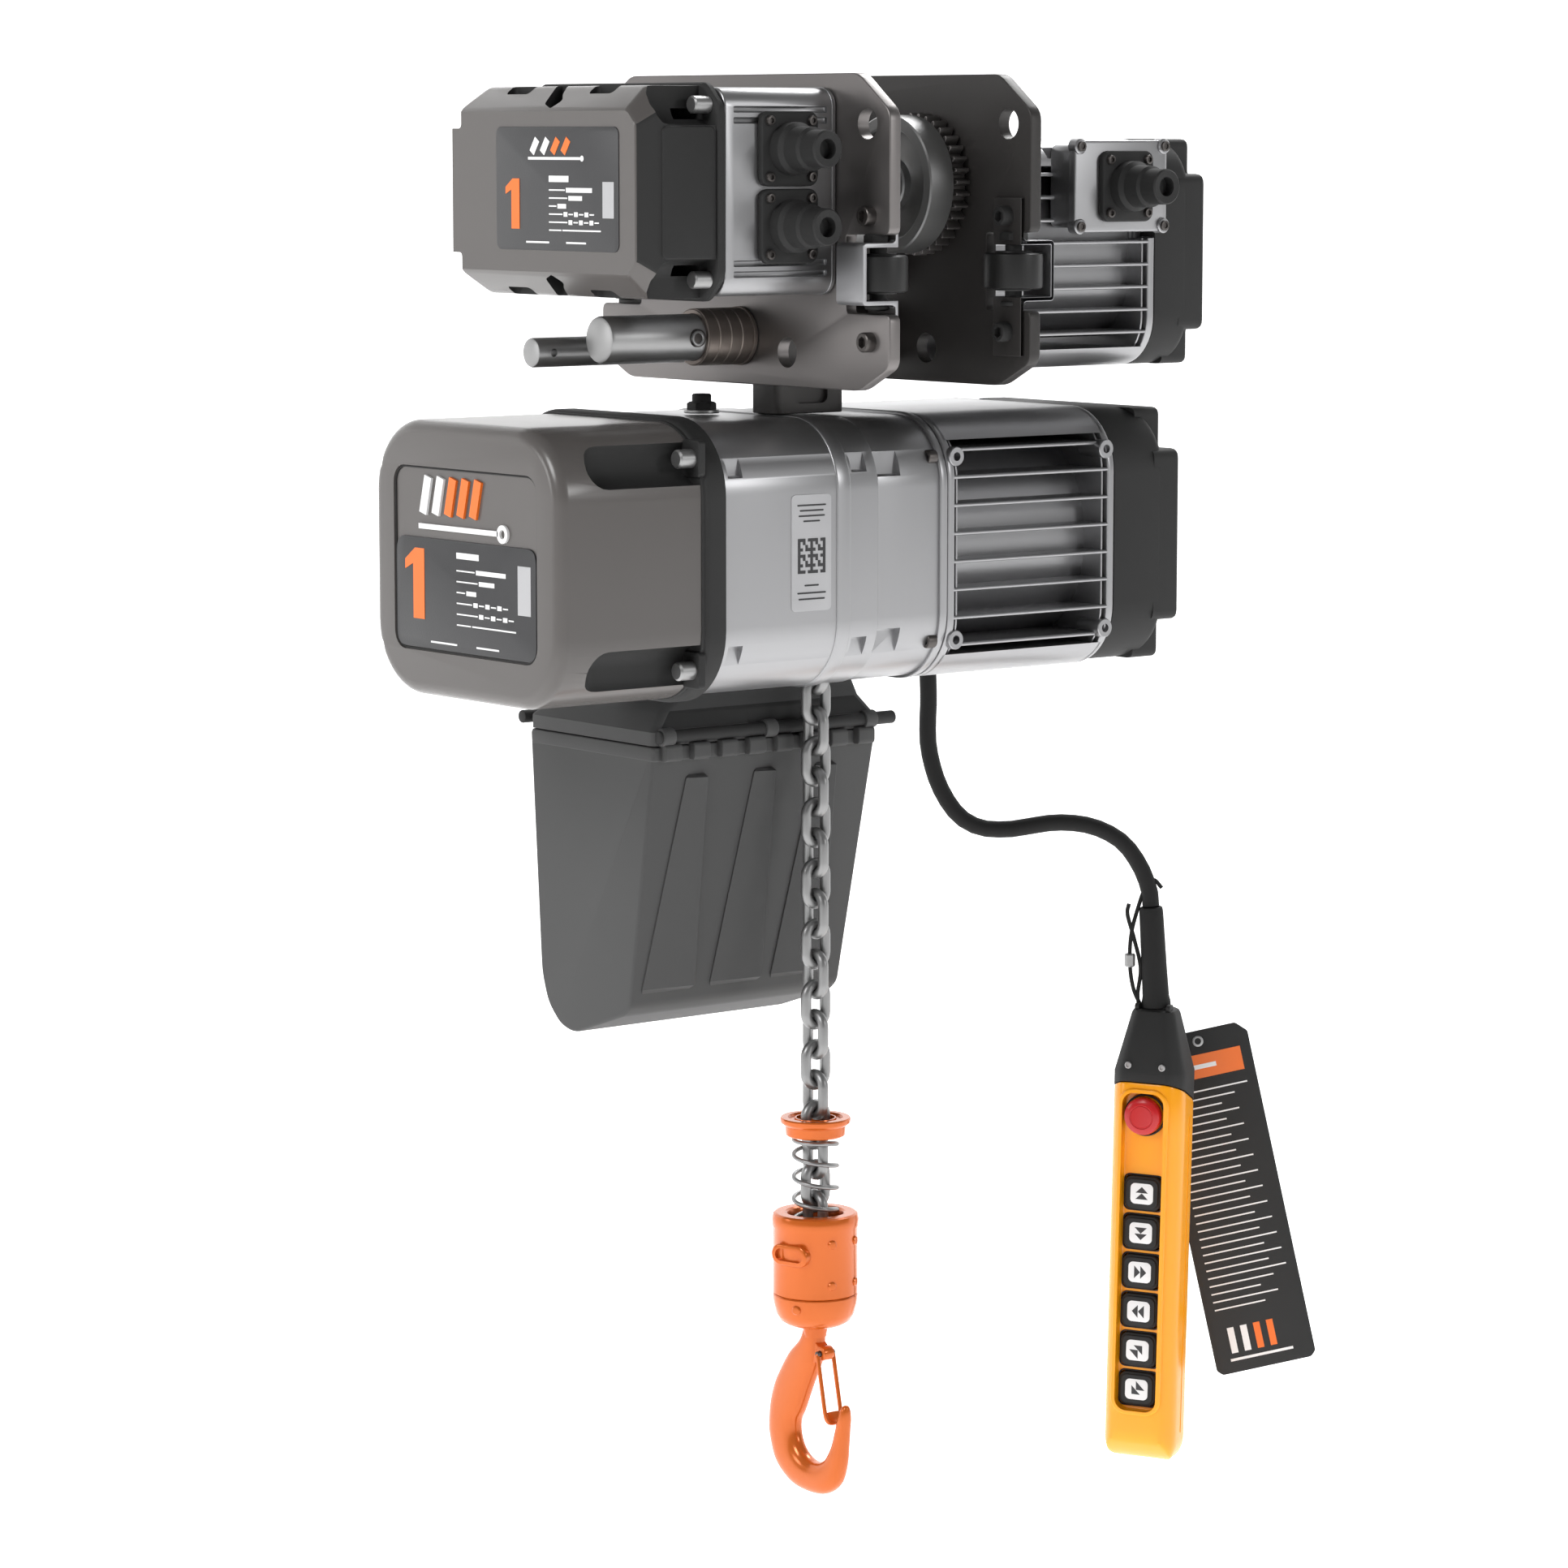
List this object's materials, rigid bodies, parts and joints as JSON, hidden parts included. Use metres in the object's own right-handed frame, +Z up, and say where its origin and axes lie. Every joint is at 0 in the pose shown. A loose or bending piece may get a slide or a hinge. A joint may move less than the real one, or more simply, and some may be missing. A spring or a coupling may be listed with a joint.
{
  "type": "electric chain hoist with motorised beam trolley",
  "caption": "Electric chain hoist hung from a motor-driven beam trolley, with load chain, swivel hook, chain bucket and a corded push-button pendant.",
  "frame": {"origin": "midway between the trolley's side plates, centred along the beam, at the level of the beam flange's upper face, where the wheels roll", "axes": "+X along the hoist from its control cover towards its motor, +Y along the beam away from the hook's mouth, +Z up"},
  "size_m": [0.7548, 0.3405, 1.0225],
  "materials": {
    "dark_paint": "satin moulded cover",
    "cast_aluminium": "fine cast, satin",
    "black_plastic": "satin moulded",
    "plate_steel": "hot rolled, faintly stained",
    "wheel_steel": "machined",
    "ground_steel": "ground and polished",
    "dark_steel": "hardened, oiled",
    "bronzed_steel": "machined, browned",
    "roller_black": "blackened",
    "bracket_steel": "zinc plated",
    "bucket_plastic": "moulded, matt",
    "chain_steel": "bright hardened",
    "orange_paint": "gloss",
    "yellow_plastic": "semi-gloss moulded",
    "red_plastic": "semi-gloss moulded",
    "cable_rubber": "smooth",
    "card_plastic": "printed card"
  },
  "bodies": {
    "hoist_frame": {"near_side_plate": "plate_steel", "far_side_plate": "plate_steel", "suspension_shaft": "ground_steel", "tie_shaft": "ground_steel", "outer_spacers": "bronzed_steel", "inner_spacer": "dark_steel", "roller_bracket_near_front": "bracket_steel", "roller_bracket_near_rear": "bracket_steel", "roller_bracket_far_front": "bracket_steel", "roller_bracket_far_rear": "bracket_steel", "trolley_control_base": "cast_aluminium", "trolley_control_cover": "dark_paint", "power_gland_upper": "black_plastic", "power_gland_lower": "black_plastic", "trolley_motor_casing": "cast_aluminium", "trolley_fan_cover": "black_plastic", "trolley_terminal_box": "cast_aluminium", "terminal_gland": "black_plastic", "hoist_control_cover": "dark_paint", "gear_casing": "cast_aluminium", "motor_flange": "cast_aluminium", "motor_casing": "cast_aluminium", "motor_fan_cover": "black_plastic", "suspension_lug": "roller_black", "oil_plug": "black_plastic", "bucket_bracket": "bucket_plastic", "chain_bucket": "bucket_plastic", "pendant_housing": "yellow_plastic", "pendant_head": "black_plastic", "pendant_sleeve": "cable_rubber", "pendant_cable_gland": "black_plastic", "cable_coil": "cable_rubber", "cable_drop": "cable_rubber", "tag_card": "card_plastic"},
    "drive_wheel_front_body": {"drive_wheel_front": "wheel_steel"},
    "drive_wheel_rear_body": {"drive_wheel_rear": "wheel_steel"},
    "idler_wheel_front_body": {"idler_wheel_front": "wheel_steel"},
    "idler_wheel_rear_body": {"idler_wheel_rear": "wheel_steel"},
    "trolley_pinion_body": {"trolley_pinion": "dark_steel"},
    "guide_roller_near_front_body": {"guide_roller_near_front": "roller_black"},
    "guide_roller_near_rear_body": {"guide_roller_near_rear": "roller_black"},
    "guide_roller_far_front_body": {"guide_roller_far_front": "roller_black"},
    "guide_roller_far_rear_body": {"guide_roller_far_rear": "roller_black"},
    "load_sheave_body": {"load_sheave": "dark_steel"},
    "reduction_gear_body": {"reduction_gear": "dark_steel"},
    "motor_rotor_body": {"motor_rotor": "bronzed_steel"},
    "lifting_chain": {"load_chain": "chain_steel", "hook_block_upper": "orange_paint", "hook_block_lower": "orange_paint", "limit_spring": "chain_steel"},
    "bump_stop": {"bump_cup": "orange_paint"},
    "swivel_hook": {"hook": "orange_paint"},
    "latch": {"hook_latch": "orange_paint"},
    "stop_button_body": {"stop_button": "red_plastic"},
    "push_button_1_body": {"push_button_1": "black_plastic"},
    "push_button_2_body": {"push_button_2": "black_plastic"},
    "push_button_3_body": {"push_button_3": "black_plastic"},
    "push_button_4_body": {"push_button_4": "black_plastic"},
    "push_button_5_body": {"push_button_5": "black_plastic"},
    "push_button_6_body": {"push_button_6": "black_plastic"}
  },
  "joints": [
    {"name": "drive_wheel_front_spin", "type": "hinge", "parent": "hoist_frame", "child": "drive_wheel_front_body", "pos_m": [0.035, -0.05, 0.046], "axis": [1, 0, 0], "continuous": true},
    {"name": "drive_wheel_rear_spin", "type": "hinge", "parent": "hoist_frame", "child": "drive_wheel_rear_body", "pos_m": [0.035, 0.05, 0.046], "axis": [1, 0, 0], "continuous": true},
    {"name": "trolley_pinion_spin", "type": "hinge", "parent": "hoist_frame", "child": "trolley_pinion_body", "pos_m": [0.05, 0, 0.00065], "axis": [1, 0, 0], "continuous": true},
    {"name": "idler_wheel_front_spin", "type": "hinge", "parent": "hoist_frame", "child": "idler_wheel_front_body", "pos_m": [-0.035, -0.05, 0.046], "axis": [1, 0, 0], "continuous": true},
    {"name": "idler_wheel_rear_spin", "type": "hinge", "parent": "hoist_frame", "child": "idler_wheel_rear_body", "pos_m": [-0.035, 0.05, 0.046], "axis": [1, 0, 0], "continuous": true},
    {"name": "guide_roller_near_front_spin", "type": "hinge", "parent": "hoist_frame", "child": "guide_roller_near_front_body", "pos_m": [-0.0575, -0.137, -0.01], "axis": [0, 0, 1], "continuous": true},
    {"name": "guide_roller_near_rear_spin", "type": "hinge", "parent": "hoist_frame", "child": "guide_roller_near_rear_body", "pos_m": [-0.0575, 0.137, -0.01], "axis": [0, 0, 1], "continuous": true},
    {"name": "guide_roller_far_front_spin", "type": "hinge", "parent": "hoist_frame", "child": "guide_roller_far_front_body", "pos_m": [0.0575, -0.137, -0.01], "axis": [0, 0, 1], "continuous": true},
    {"name": "guide_roller_far_rear_spin", "type": "hinge", "parent": "hoist_frame", "child": "guide_roller_far_rear_body", "pos_m": [0.0575, 0.137, -0.01], "axis": [0, 0, 1], "continuous": true},
    {"name": "rotor_spin", "type": "hinge", "parent": "hoist_frame", "child": "motor_rotor_body", "pos_m": [0.1, 0.033, -0.198], "axis": [1, 0, 0], "range_deg": [-1350, 1350]},
    {"name": "load_sheave_spin", "type": "hinge", "parent": "hoist_frame", "child": "load_sheave_body", "pos_m": [0, 0.033, -0.198], "axis": [1, 0, 0], "range_deg": [-145, 145]},
    {"name": "reduction_gear_spin", "type": "hinge", "parent": "hoist_frame", "child": "reduction_gear_body", "pos_m": [-0.07, 0.083, -0.198], "axis": [1, 0, 0], "range_deg": [-338, 338]},
    {"name": "lift", "type": "slide", "parent": "hoist_frame", "child": "lifting_chain", "axis": [0, 0, 1], "range_m": [-0.085, 0.085]},
    {"name": "bump_stop_slide", "type": "slide", "parent": "lifting_chain", "child": "bump_stop", "axis": [0, 0, 1], "range_m": [-0.045, 0], "stiffness_N_per_m": 800, "deforming": ["limit_spring"]},
    {"name": "hook_swivel", "type": "hinge", "parent": "lifting_chain", "child": "swivel_hook", "pos_m": [0, 0, -0.72], "axis": [0, 0, 1], "continuous": true},
    {"name": "latch_pivot", "type": "hinge", "parent": "swivel_hook", "child": "latch", "pos_m": [0, -0.011, -0.756], "axis": [1, 0, 0], "range_deg": [0, 30], "stiffness_Nm_per_rad": 0.02},
    {"name": "stop_press", "type": "slide", "parent": "hoist_frame", "child": "stop_button_body", "axis": [0.866, 0.5, 0], "range_m": [0, 0.004], "stiffness_N_per_m": 900},
    {"name": "push_1", "type": "slide", "parent": "hoist_frame", "child": "push_button_1_body", "axis": [0.866, 0.5, 0], "range_m": [0, 0.003], "stiffness_N_per_m": 500},
    {"name": "push_2", "type": "slide", "parent": "hoist_frame", "child": "push_button_2_body", "axis": [0.866, 0.5, 0], "range_m": [0, 0.003], "stiffness_N_per_m": 500},
    {"name": "push_3", "type": "slide", "parent": "hoist_frame", "child": "push_button_3_body", "axis": [0.866, 0.5, 0], "range_m": [0, 0.003], "stiffness_N_per_m": 500},
    {"name": "push_4", "type": "slide", "parent": "hoist_frame", "child": "push_button_4_body", "axis": [0.866, 0.5, 0], "range_m": [0, 0.003], "stiffness_N_per_m": 500},
    {"name": "push_5", "type": "slide", "parent": "hoist_frame", "child": "push_button_5_body", "axis": [0.866, 0.5, 0], "range_m": [0, 0.003], "stiffness_N_per_m": 500},
    {"name": "push_6", "type": "slide", "parent": "hoist_frame", "child": "push_button_6_body", "axis": [0.866, 0.5, 0], "range_m": [0, 0.003], "stiffness_N_per_m": 500}
  ],
  "couplings": [
    {"joint": "drive_wheel_rear_spin", "follows": "drive_wheel_front_spin", "ratio": 1},
    {"joint": "trolley_pinion_spin", "follows": "drive_wheel_front_spin", "ratio": -2},
    {"joint": "load_sheave_spin", "follows": "rotor_spin", "ratio": 0.10714},
    {"joint": "reduction_gear_spin", "follows": "rotor_spin", "ratio": -0.25},
    {"joint": "lift", "follows": "rotor_spin", "m_per_rad": -0.0035786}
  ]
}
